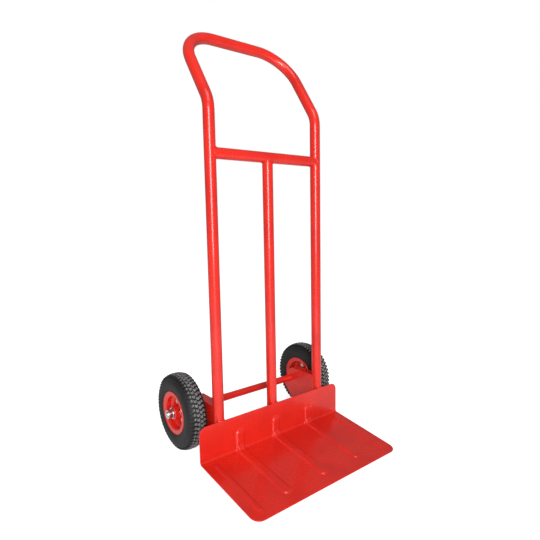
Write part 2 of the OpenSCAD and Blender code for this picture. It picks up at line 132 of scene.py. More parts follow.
class Graph:
    """The node tree of one material."""

    def __init__(self, name: str) -> None:
        """Makes an empty material.

        Args:
            name: The material's name.
        """
        self.material = bpy.data.materials.new(name)
        self.material.use_nodes = True
        self.tree = self.material.node_tree
        self.tree.nodes.clear()
        self.place = self.node("ShaderNodeTexCoord", {}, {}, "Object")

    def node(
        self, kind: str, settings: dict[str, object], inputs: dict, output: str | int = 0
    ) -> Wire:
        """Adds a node.

        Args:
            kind: The node's type.
            settings: Attributes set before the sockets, or `stops` for a colour ramp.
            inputs: Socket name or number to a value or a wire.
            output: The output socket to return.

        Returns:
            The wire that leaves the node.
        """
        made = self.tree.nodes.new(kind)
        for key, value in settings.items():
            if key == "stops":
                self._set_stops(made.color_ramp, value)
            else:
                setattr(made, key, value)
        for key, value in inputs.items():
            if isinstance(value, Wire):
                self.tree.links.new(value.socket, made.inputs[key])
            else:
                made.inputs[key].default_value = value
        return Wire(self, made.outputs[output])

    @staticmethod
    def _set_stops(ramp: bpy.types.ColorRamp, stops: Sequence[tuple[float, tuple]]) -> None:
        """Gives a colour ramp its stops."""
        while len(ramp.elements) < len(stops):
            ramp.elements.new(1.0)
        for element, (position, colour) in zip(ramp.elements, stops):
            element.position = position
            element.color = (*colour, 1.0)

    def stretched(self, x: float, y: float, z: float) -> Wire:
        """Object coordinates scaled along each axis."""
        return self.node("ShaderNodeMapping", {}, {"Vector": self.place, "Scale": (x, y, z)})

    def noise(
        self, scale: float, detail: float = 3.0, rough: float = 0.55, where: Wire | None = None
    ) -> Wire:
        """Noise of about 1 / scale metres.

        Args:
            scale: Features per metre.
            detail: Octaves.
            rough: How strong the finer octaves are.
            where: Coordinates, or the object's own.

        Returns:
            The noise's value, around 0.5.
        """
        return self.node(
            "ShaderNodeTexNoise",
            {},
            {"Vector": where or self.place, "Scale": scale, "Detail": detail, "Roughness": rough},
        )

    def blend(self, amount: Wire | float, low: tuple | Wire, high: tuple | Wire) -> Wire:
        """A colour between low and high.

        Args:
            amount: 0 for low and 1 for high.
            low: Colour at 0.
            high: Colour at 1.

        Returns:
            The mixed colour.
        """
        def colour(value: tuple | Wire) -> tuple | Wire:
            """A colour with its alpha."""
            return value if isinstance(value, Wire) else (*value, 1.0)

        return self.node(
            "ShaderNodeMix",
            {"data_type": "RGBA"},
            {"Factor": amount, 6: colour(low), 7: colour(high)},
            2,
        )

    def bump(self, height: Wire, depth: float) -> Wire:
        """A normal from a height that is `depth` metres from 0 to 1."""
        return self.node("ShaderNodeBump", {}, {"Height": height, "Distance": depth})

    def surface(self, **sockets: object) -> bpy.types.Material:
        """Ends the material with a Principled shader.

        Args:
            **sockets: Socket name, with _ for each space, to a value or a wire.

        Returns:
            The finished material.
        """
        named = {key.replace("_", " "): value for key, value in sockets.items()}
        shader = self.node("ShaderNodeBsdfPrincipled", {}, named)
        out = self.tree.nodes.new("ShaderNodeOutputMaterial")
        self.tree.links.new(shader.socket, out.inputs["Surface"])
        return self.material


@dataclass(frozen=True)
class GlossPaint:
    """Thick gloss enamel on steel: orange peel, faint clouding, rub marks and small chips."""

    name: str
    colour: Colour = (0.80, 0.020, 0.009)
    deep: Colour = (0.68, 0.014, 0.007)
    chip: Colour = (0.10, 0.035, 0.030)
    rub: float = 0.35
    chips: float = 0.0
    peel_depth: float = 0.05 * MM
    roughness: float = 0.26

    def material(self) -> bpy.types.Material:
        """Builds the paint."""
        g = Graph(self.name)
        cloud = g.noise(9.0, 3.0).between(0.35, 0.7)
        streak = g.noise(1.0, 4.0, 0.6, g.stretched(160.0, 160.0, 14.0)).between(0.56, 0.78)
        scuff = g.noise(38.0, 6.0, 0.7).between(0.55, 0.72) * g.noise(7.0, 2.0).between(0.45, 0.6)
        speck = g.noise(420.0, 2.0, 0.5).between(0.74, 0.78) * g.noise(16.0, 2.0).between(0.5, 0.62)
        worn = (streak * 0.5 + scuff) * self.rub
        colour = g.blend(cloud, self.colour, self.deep)
        colour = g.blend(worn * 0.55, colour, self.deep)
        chipped = speck * self.chips
        colour = g.blend(chipped, colour, self.chip)
        rough = self.roughness + worn * 0.5 + cloud * 0.05 + chipped * 0.3
        peel = g.noise(330.0, 2.0, 0.45) + g.noise(70.0, 2.0, 0.5) * 0.8 - chipped * 1.5
        return g.surface(
            Base_Color=colour,
            Roughness=rough,
            Normal=g.bump(peel, self.peel_depth),
            Coat_Weight=0.35 - worn * 0.3,
            Coat_Roughness=0.08,
            Specular_IOR_Level=0.5,
        )


@dataclass(frozen=True)
class BrightSteel:
    """Zinc-plated or drawn steel: fine brushing, clouded plating and a few dull spots."""

    name: str
    colour: Colour = (0.72, 0.72, 0.74)
    dull: Colour = (0.46, 0.46, 0.47)
    roughness: float = 0.2
    brush: tuple[float, float, float] = (30.0, 900.0, 900.0)

    def material(self) -> bpy.types.Material:
        """Builds the metal."""
        g = Graph(self.name)
        cloud = g.noise(120.0, 4.0, 0.6).between(0.4, 0.75)
        lines = g.noise(1.0, 3.0, 0.6, g.stretched(*self.brush))
        spot = g.noise(600.0, 2.0).between(0.68, 0.74)
        return g.surface(
            Base_Color=g.blend(cloud * 0.7 + spot * 0.3, self.colour, self.dull),
            Metallic=1.0 - spot * 0.3,
            Roughness=self.roughness + cloud * 0.16 + lines * 0.12,
            Normal=g.bump(lines + spot * 0.4, 0.02 * MM),
        )


@dataclass(frozen=True)
class Rubber:
    """Black rubber: matt, finely pitted, with grey dust in the hollows, and tread tops painted paler, partly as
    wear and dust and partly as a painted highlight.
    """

    name: str
    colour: Colour = (0.012, 0.012, 0.013)
    dust: Colour = (0.075, 0.072, 0.070)
    # Pale grey of the tread tops: worn, dusty rubber, and also a painted highlight of the lit block tops.
    worn: Colour = (0.34, 0.33, 0.34)
    dusty: float = 0.5
    roughness: float = 0.5
    axle: tuple[float, float] | None = None
    worn_radius: float = 0.0

    def tops(self, g: Graph) -> Wire | float:
        """How far a point is on the tread's tops, which are painted paler as wear and as a painted highlight, by
        its distance from the axle.
        """
        if self.axle is None:
            return 0.0
        across = g.node("ShaderNodeSeparateXYZ", {}, {0: g.place}, "Y") - self.axle[0]
        along = g.node("ShaderNodeSeparateXYZ", {}, {0: g.place}, "Z") - self.axle[1]
        distance = (across * across + along * along) ** 0.5
        return distance.between(self.worn_radius - 3.8 * MM, self.worn_radius - 1.4 * MM)

    def material(self) -> bpy.types.Material:
        """Builds the rubber."""
        g = Graph(self.name)
        patch = g.noise(35.0, 5.0, 0.65).between(0.4, 0.75)
        grit = g.noise(900.0, 3.0, 0.6)
        scuffed = g.noise(210.0, 4.0, 0.6).between(0.48, 0.7)
        dusting = (patch * 0.6 + scuffed * 0.4) * self.dusty
        # The tread tops get a pale grey: partly wear and dust, partly a painted highlight where the block tops
        # catch the light.
        tops = self.tops(g) * (0.45 + scuffed * 0.55)
        base = g.blend(dusting, self.colour, self.dust)
        return g.surface(
            Base_Color=g.blend(tops, base, self.worn),
            Roughness=self.roughness + dusting * 0.35 + grit * 0.1,
            Normal=g.bump(grit + scuffed * 0.6, 0.08 * MM),
            Specular_IOR_Level=0.4,
        )


@dataclass(frozen=True)
class Moulded:
    """Plain moulded plastic or oxide-black metal with a faint grain."""

    name: str
    colour: Colour = (0.018, 0.018, 0.018)
    metallic: float = 0.0
    roughness: float = 0.4

    def material(self) -> bpy.types.Material:
        """Builds the plastic."""
        g = Graph(self.name)
        grain = g.noise(1500.0, 2.0)
        patch = g.noise(200.0, 3.0).between(0.4, 0.7)
        paler = tuple(channel * 2.2 + 0.01 for channel in self.colour)
        return g.surface(
            Base_Color=g.blend(patch * 0.5, self.colour, paler),
            Metallic=self.metallic,
            Roughness=self.roughness + patch * 0.2,
            Normal=g.bump(grain, 0.03 * MM),
        )


class Finishes:
    """Every material, made once, with the record's slot that each stands for."""

    def __init__(self) -> None:
        """Makes the materials."""
        low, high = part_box(Side.LEFT.node("tyre"))
        middle, tyre_radius = (low + high) / 2, (high.z - low.z) / 2
        self.made: dict[str, bpy.types.Material] = {}
        for slot, finish in {
            "frame_paint": GlossPaint("frame_paint"),
            "plate_paint": GlossPaint("plate_paint", rub=0.7, chips=0.8),
            "rim_paint": GlossPaint("rim_paint", rub=0.3, roughness=0.22),
            "axle_steel": BrightSteel("axle_steel"),
            "zinc_hardware": BrightSteel("zinc_hardware", roughness=0.16),
            "bearing_steel": BrightSteel("bearing_steel", colour=(0.5, 0.5, 0.52)),
            "cage_brass": BrightSteel("cage_brass", colour=(0.7, 0.5, 0.2), dull=(0.4, 0.28, 0.12)),
            "screw_steel": Moulded("screw_steel", colour=(0.03, 0.03, 0.032), metallic=0.8),
            "tyre_rubber": Rubber(
                "tyre_rubber", dusty=0.2, axle=(middle.y, middle.z), worn_radius=tyre_radius
            ),
            "tube_rubber": Rubber("tube_rubber", dusty=0.1),
            "valve_rubber": Rubber("valve_rubber", dusty=0.2),
            "valve_cap_plastic": Moulded("valve_cap_plastic"),
        }.items():
            self.made[slot] = finish.material()

    def __getitem__(self, slot: str) -> bpy.types.Material:
        """The material for a slot."""
        return self.made[slot]

    def dress_frame(self) -> None:
        """Gives every node of the frame the material of its slot in the record."""
        for row in frame["record"]["subparts"]:
            node = frame["nodes"][row["node"]]
            node.data.materials.clear()
            node.data.materials.append(self[row["material_slot"]])
            if row["material_slot"] in EDGED:
                edge = node.modifiers.new("edges", "BEVEL")
                edge.width, edge.segments = EDGE_WIDTH, 2
                edge.limit_method, edge.angle_limit = "ANGLE", EDGE_ANGLE


# ------------------------------------------------------------------ shaping


class Shape:
    """A mesh being shaped with bmesh operators, in the coordinates of its own sub-assembly."""

    def __init__(self) -> None:
        """Starts empty."""
        self.bm = bmesh.new()

    def line(self, points: Iterable[Vector], closed: bool = False) -> list:
        """Vertices joined by edges.

        Args:
            points: Where they are.
            closed: Whether the last joins the first.

        Returns:
            The vertices and edges.
        """
        verts = [self.bm.verts.new(p) for p in points]
        pairs = list(zip(verts, verts[1:])) + ([(verts[-1], verts[0])] if closed else [])
        return verts + [self.bm.edges.new(pair) for pair in pairs]

    def lathe(self, outline: Outline, steps: int) -> None:
        """Turns a closed outline of (radius, z) round the Z axis.

        Args:
            outline: The outline's points.
            steps: Faces round the axis.
        """
        geom = self.line([Vector((r, 0.0, z)) for r, z in outline], closed=True)
        bmesh.ops.spin(
            self.bm, geom=geom, cent=(0, 0, 0), axis=(0, 0, 1), dvec=(0, 0, 0),
            angle=math.tau, steps=steps, use_merge=True, use_duplicate=False,
        )

    def prism(self, outline: Outline, low: float, high: float) -> list:
        """Raises a flat outline along Z.

        Args:
            outline: Its (x, y) points.
            low: Lower z.
            high: Upper z.

        Returns:
            The prism's upper vertices.
        """
        face = self.bm.faces.new([self.bm.verts.new((x, y, low)) for x, y in outline])
        raised = bmesh.ops.extrude_face_region(self.bm, geom=[face], use_keep_orig=True)["geom"]
        top = [g for g in raised if isinstance(g, bmesh.types.BMVert)]
        bmesh.ops.translate(self.bm, verts=top, vec=(0, 0, high - low))
        return top

    def sweep(
        self, path: Sequence[Vector], radius: Callable[[float], float], sides: int, closed: bool
    ) -> None:
        """A round rod along a path.

        Args:
            path: The points of its middle.
            radius: The rod's radius at each share of its length, from 0 to 1.
            sides: Faces round the rod.
            closed: Whether the path is a loop.
        """
        rings: list[list[bmesh.types.BMEdge]] = []
        count = len(path)
        for i, point in enumerate(path):
            before = path[i - 1] if i or closed else path[i]
            after = path[(i + 1) % count] if closed or i + 1 < count else path[i]
            turn = (after - before).to_track_quat("Z", "X").to_matrix().to_4x4()
            made = bmesh.ops.create_circle(
                self.bm, cap_ends=not closed and i in (0, count - 1), segments=sides,
                radius=radius(i / max(1, count - 1)), matrix=Matrix.Translation(point) @ turn,
            )["verts"]
            ring = {e for v in made for e in v.link_edges}
            rings.append(list(ring))
        for i in range(count if closed else count - 1):
            bmesh.ops.bridge_loops(self.bm, edges=rings[i] + rings[(i + 1) % count])

    def close_up(self) -> None:
        """Merges doubles and turns every face outwards."""
        bmesh.ops.remove_doubles(self.bm, verts=self.bm.verts, dist=0.002 * MM)
        bmesh.ops.recalc_face_normals(self.bm, faces=self.bm.faces)

    def piece(
        self, name: str, material: bpy.types.Material, body: str,
        place: Matrix | None = None, stands_for: Sequence[str] = (), smooth: float = 0.6,
    ) -> bpy.types.Object:
        """Ends the shape as a piece that rides on a body.

        Args:
            name: The piece's name.
            material: Its finish.
            body: The body that it rides on.
            place: From the sub-assembly's coordinates to the truck's.
            stands_for: Nodes of the frame that it replaces.
            smooth: Edges sharper than this angle stay sharp, in radians.

        Returns:
            The new object.
        """
        self.close_up()
        if place is not None:
            bmesh.ops.transform(self.bm, matrix=place, verts=self.bm.verts)
            if place.determinant() < 0:
                bmesh.ops.reverse_faces(self.bm, faces=self.bm.faces)
        mesh = bpy.data.meshes.new(name)
        self.bm.to_mesh(mesh)
        self.bm.free()
        mesh.materials.append(material)
        mesh.shade_smooth()
        mesh.set_sharp_from_angle(angle=smooth)
        made = bpy.data.objects.new(name, mesh)
        bpy.context.scene.collection.objects.link(made)
        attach(made, body)
        if stands_for:
            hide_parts(*stands_for)
        log.info("%s: %d faces on %s", name, len(mesh.polygons), body)
        return made


def eased(x: float) -> float:
    """0 at or below 0, 1 at or above 1, and smooth in between."""
    x = min(1.0, max(0.0, x))
    return x * x * (3.0 - 2.0 * x)


@dataclass
class Stance:
    """How the truck stands, as the leaning frame's own coordinates.

    X is to the right, Y to the back and Z up the uprights. Y is 0 at the uprights' middle,
    and Z is 0 at the toe plate's inner corner.
    """

    tube_radius: float = 15.9 * MM
    sheet: float = 3.0 * MM
    lean: float = field(init=False)
    droop: float = field(init=False)
    matrix: Matrix = field(init=False)

    def __post_init__(self) -> None:
        """Works out the lean, the plate's droop and the inner corner from the two flat mounts."""
        mounts = {m["name"]: m for m in frame["record"]["mounts"]}
        plate, flange = mounts["toe_plate_top"], mounts["flange_front"]
        _, fy, fz = flange["axis"]
        _, py, pz = plate["axis"]
        self.lean = math.atan2(fz, -fy)
        plate_slope = math.atan2(-py, pz)
        self.droop = plate_slope + self.lean
        up = Vector((0.0, math.sin(self.lean), math.cos(self.lean)))
        back = Vector((0.0, math.cos(self.lean), -math.sin(self.lean)))
        flange_at = Vector((0.0, *flange["pos_m"][1:]))
        plate_at = Vector((0.0, *plate["pos_m"][1:]))
        normal = Vector((0.0, py, pz))
        rise = (plate_at - flange_at).dot(normal) / up.dot(normal)
        corner = flange_at + rise * up
        origin = corner + (self.tube_radius + self.sheet) * back
        self.matrix = Matrix.Translation(origin) @ Matrix.Rotation(-self.lean, 4, "X")

    def height_of(self, world_z: float, y: float = 0.0) -> float:
        """How far up the frame a height above the floor is, at a distance behind the uprights."""
        origin = self.matrix.translation
        return (world_z - origin.z + y * math.sin(self.lean)) / math.cos(self.lean)


# ------------------------------------------------------------------ toe plate


@dataclass
class ToePlate:
    """The pressed plate and back flange, with three long beads over the fold and two side beads."""

    stance: Stance
    finishes: Finishes
    fold: float = 5.0 * MM
    crest_fold: float = 15.0 * MM
    fold_zone: float = 24.0 * MM
    plate_corner: float = 26.0 * MM
    flange_corner: float = 22.0 * MM
    bead_x: float = 134.0 * MM
    bead_half: float = 16.0 * MM
    bead_rise: float = 4.0 * MM
    bead_flank: float = 7.0 * MM
    bead_front: float = 33.0 * MM
    bead_top: float = 62.0 * MM
    side_bead_in: float = 34.0 * MM
    side_bead_half: float = 9.0 * MM
    side_bead_rise: float = 3.0 * MM
    side_bead_flank: float = 5.0 * MM
    side_bead_start: float = 22.0 * MM
    coarse: float = 7.0 * MM
    fine: float = 1.6 * MM
    margin: float = 1.0 * MM
    flank_reach: float = 10.0 * MM
    end_reach: float = 18.0 * MM
    cut_edge: float = 0.7 * MM

    def __post_init__(self) -> None:
        """Reads the plate's width, depth and height from the frame."""
        low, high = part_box("toe_plate")
        self.half_width = high.x
        self.face_y = -self.stance.tube_radius - self.stance.sheet
        self.height = self.stance.height_of(high.z, self.face_y + self.stance.sheet)
        slope = self.stance.droop - self.stance.lean
        corner = self.stance.matrix @ Vector((0.0, self.face_y, 0.0))
        self.depth = (corner.y - low.y) / math.cos(slope)
        log.info("toe plate: depth %.4f, flange %.4f", self.depth, self.height)

    def stations(self, low: float, high: float, zones: Outline) -> list[float]:
        """Lines of the sheet's grid, close together inside the zones.

        Args:
            low: First line.
            high: Last line.
            zones: (start, end) of each stretch that needs close lines.

        Returns:
            The places of the lines, in order.
        """
        cuts = sorted({low, high, *(min(high, max(low, e)) for zone in zones for e in zone)})
        lines = [low]
        for a, b in zip(cuts, cuts[1:]):
            middle = (a + b) / 2
            step = self.fine if any(s <= middle <= e for s, e in zones) else self.coarse
            count = max(1, round((b - a) / step))
            lines += [a + (b - a) * (i + 1) / count for i in range(count)]
        return lines

    def bead(self, x: float, v: float) -> tuple[float, float]:
        """How far the sheet is pressed up at a point, and how far it is on a long bead's crest."""
        crest = 0.0
        ends = (-(self.depth - self.bead_front - self.bead_half), self.bead_top - self.bead_half)
        for middle in (-self.bead_x, 0.0, self.bead_x):
            past = max(0.0, ends[0] - v, v - ends[1])
            away = math.hypot(x - middle, past)
            crest = max(crest, eased((self.bead_half - away) / self.bead_flank))
        side_x = self.half_width - self.side_bead_in
        start = -(self.depth - self.bead_front)
        past = max(0.0, start - v, v + self.side_bead_start + self.side_bead_half)
        away = math.hypot(abs(x) - side_x, past)
        side = self.side_bead_rise * eased((self.side_bead_half - away) / self.side_bead_flank)
        return max(self.bead_rise * crest, side), crest

    def rounded(self, x: float, v: float) -> tuple[float, float]:
        """Draws the square corners of the flat sheet in to round ones."""
        radius, end = (
            (self.plate_corner, self.depth) if v < 0 else (self.flange_corner, self.height)
        )
        a, b = abs(x) - (self.half_width - radius), abs(v) - (end - radius)
        if a <= 0 or b <= 0:
            return x, v
        pull = max(a, b) / math.hypot(a, b)
        return (
            math.copysign(self.half_width - radius + a * pull, x),
            math.copysign(end - radius + b * pull, v),
        )

    def bent(self, x: float, v: float) -> Vector:
        """Bends a point of the pressed flat sheet to its place on the truck.

        Args:
            x: Across the sheet.
            v: Distance from the inner corner, negative forward and positive up the flange.

        Returns:
            The point in the leaning frame's coordinates.
        """
        rise, crest = self.bead(x, v)
        x, v = self.rounded(x, v)
        droop = self.stance.droop
        forward = Vector((0.0, -math.cos(droop), -math.sin(droop)))
        off_plate = Vector((0.0, -math.sin(droop), math.cos(droop)))
        up, off_flange = Vector((0.0, 0.0, 1.0)), Vector((0.0, -1.0, 0.0))
        corner = Vector((x, self.face_y, 0.0))
        if v < -self.fold_zone:
            return corner - v * forward + rise * off_plate
        if v > self.fold_zone:
            return corner + v * up + rise * off_flange
        turn = math.pi / 2 - droop
        inset = rise * math.tan(math.pi / 4 - droop / 2)
        radius = self.fold + (self.crest_fold - self.fold) * crest
        tangent = radius * math.tan(turn / 2)
        straight = self.fold_zone - inset - tangent
        length = 2 * straight + radius * turn
        at = (v + self.fold_zone) / (2 * self.fold_zone) * length
        inner = corner + rise * (off_plate + off_flange) / (1 + off_plate.dot(off_flange))
        if at < straight:
            return inner + (tangent + straight - at) * forward
        if at > straight + radius * turn:
            return inner + (tangent + at - straight - radius * turn) * up
        middle = inner + tangent * up + radius * off_flange
        swept = (at - straight) / radius
        return middle - radius * (math.cos(swept) * off_plate + math.sin(swept) * forward)

    def build(self) -> None:
        """Presses, bends and thickens the sheet."""
        shape = Shape()
        outer, inner = self.bead_half + self.margin, self.bead_half - self.flank_reach
        flanks = [(x - outer, x - inner) for x in (-self.bead_x, 0.0, self.bead_x)]
        flanks += [(-b, -a) for a, b in flanks]
        side_x, side_reach = self.half_width - self.side_bead_in, self.side_bead_half + self.margin
        flanks += [(s * side_x - side_reach, s * side_x + side_reach) for s in (-1, 1)]
        front = -self.depth + self.bead_front
        ends = [
            (front - 2 * self.margin, front + self.end_reach),
            (-self.fold_zone - 12 * MM, self.fold_zone),
            (self.bead_top - self.end_reach, self.bead_top + 2 * self.margin),
        ]
        xs = self.stations(-self.half_width, self.half_width, flanks)
        vs = self.stations(-self.depth, self.height, ends)
        row = shape.line([Vector((x, vs[0], 0.0)) for x in xs])
        edges = [g for g in row if isinstance(g, bmesh.types.BMEdge)]
        for a, b in zip(vs, vs[1:]):
            made = bmesh.ops.extrude_edge_only(shape.bm, edges=edges)["geom"]
            fresh = [g for g in made if isinstance(g, bmesh.types.BMVert)]
            bmesh.ops.translate(shape.bm, verts=fresh, vec=(0.0, b - a, 0.0))
            edges = [g for g in made if isinstance(g, bmesh.types.BMEdge)]
        for vert in shape.bm.verts:
            vert.co = self.bent(vert.co.x, vert.co.y)
        bmesh.ops.recalc_face_normals(shape.bm, faces=shape.bm.faces)
        shape.bm.faces.ensure_lookup_table()
        highest = max(shape.bm.faces, key=lambda f: f.calc_center_median().z)
        if highest.normal.y > 0:
            bmesh.ops.reverse_faces(shape.bm, faces=shape.bm.faces)
        bmesh.ops.transform(shape.bm, matrix=self.stance.matrix, verts=shape.bm.verts)
        mesh = bpy.data.meshes.new("toe_plate_sheet")
        shape.bm.to_mesh(mesh)
        shape.bm.free()
        mesh.materials.append(self.finishes["plate_paint"])
        mesh.shade_smooth()
        made = bpy.data.objects.new("toe_plate_sheet", mesh)
        bpy.context.scene.collection.objects.link(made)
        thick = made.modifiers.new("thickness", "SOLIDIFY")
        thick.thickness = self.stance.sheet
        thick.offset = -1.0
        thick.use_even_offset = False
        rim = made.modifiers.new("edges", "BEVEL")
        rim.width = self.cut_edge
        rim.segments = 2
        rim.limit_method = "ANGLE"
        rim.angle_limit = math.radians(60)
        rim.harden_normals = True
        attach(made, TRUCK)
        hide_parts("toe_plate")
        log.info("toe_plate_sheet: %d faces", len(mesh.polygons))


# ------------------------------------------------------------------ welds


@dataclass
class Welds:
    """Painted weld beads, rippled by hand-laid passes, where tubes and sheet meet."""

    stance: Stance
    finishes: Finishes
    bead: float = 2.6 * MM
    ripple: float = 0.16
    pitch: float = 3.2 * MM
    brace_radius: float = 15.5 * MM
    flange_height: float = 101.0 * MM
    sink: float = 0.5 * MM
    ring_steps: int = 96
    over_reach: float = 11.0 * MM
    side_reach: float = 8.5 * MM
    over_steps: int = 32

    def __post_init__(self) -> None:
        """Reads the tubes' places from the frame."""
        low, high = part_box("handle_frame")
        self.upright_x = high.x - self.stance.tube_radius
        low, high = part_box("cross_tube")
        self.cross_height = self.stance.height_of((low.z + high.z) / 2)

    def lay(self, name: str, paths: Sequence[Sequence[Vector]], closed: bool) -> None:
        """Lays beads along paths, as one piece.

        Args:
            name: The piece's name.
            paths: The middle of each bead, in the leaning frame's coordinates.
            closed: Whether each path is a loop.
        """
        shape = Shape()
        for number, path in enumerate(paths):
            length = sum((b - a).length for a, b in zip(path, path[1:]))
            passes = length / self.pitch

            def radius(share: float, seed: int = number, count: float = passes) -> float:
                """The bead's radius along its length, fullest in the middle of each ripple."""
                wave = abs(math.sin(math.pi * share * count))
                drift = math.sin(7.1 * share + 2.3 * seed) * 0.08
                ends = 1.0 if closed else eased(min(share, 1 - share) * 14) * 0.5 + 0.5
                return self.bead * (1.0 - self.ripple + self.ripple * wave + drift) * ends

            shape.sweep(path, radius, 8, closed)
        shape.piece(
            name, self.finishes["frame_paint"], TRUCK, self.stance.matrix, smooth=1.2
        )

    def saddle(self, side: int) -> list[Vector]:
        """The line where the cross tube meets an upright."""
        radius, tube = self.brace_radius, self.stance.tube_radius
        points = []
        for i in range(self.ring_steps):
            angle = math.tau * i / self.ring_steps
            y, z = radius * math.cos(angle), radius * math.sin(angle)
            inner = self.upright_x - math.sqrt(max(0.0, tube**2 - y**2))
            points.append(Vector((side * (inner - self.sink), y, self.cross_height + z)))
        return points

    def centre_top(self) -> list[Vector]:
        """The line where the centre tube meets the cross tube."""
        radius = self.brace_radius - 0.1 * MM
        points = []
        for i in range(self.ring_steps):
            angle = math.tau * i / self.ring_steps
            x, y = radius * math.cos(angle), radius * math.sin(angle)
            drop = math.sqrt(max(0.0, self.brace_radius**2 - y**2))
            points.append(Vector((x, y - self.sink, self.cross_height - drop - self.sink)))
        return points

    def foot(self, x: float) -> list[list[Vector]]:
        """The beads that hold a tube to the flange: over its top edge and down both sides."""
        tube = self.stance.tube_radius
        top = self.flange_height
        over = []
        for i in range(self.over_steps + 1):
            dx = self.over_reach * (2 * i / self.over_steps - 1)
            y = -math.sqrt(tube**2 - dx**2) - 0.2 * MM
            over.append(Vector((x + dx, y - 0.6 * MM, top + 0.6 * MM)))
        sides = []
        for sign in (-1, 1):
            dx = self.side_reach
            y = -math.sqrt(tube**2 - dx**2) + 1.4 * MM
            sides.append(
                [Vector((x + sign * dx, y - 1.2 * MM, z)) for z in self.steps(8 * MM, top - 2 * MM)]
            )
        return [over, *sides]

    def steps(self, low: float, high: float) -> list[float]:
        """Places a quarter of a ripple apart."""
        count = round((high - low) / (self.pitch / 4))
        return [low + (high - low) * i / count for i in range(count + 1)]

    def build(self) -> None:
        """Lays every bead."""
        self.lay("cross_tube_welds", [self.saddle(-1), self.saddle(1)], True)
        self.lay("centre_tube_weld", [self.centre_top()], True)
        feet = [path for x in (-self.upright_x, 0.0, self.upright_x) for path in self.foot(x)]
        self.lay("tube_foot_welds", feet, False)


# ------------------------------------------------------------------ wheels


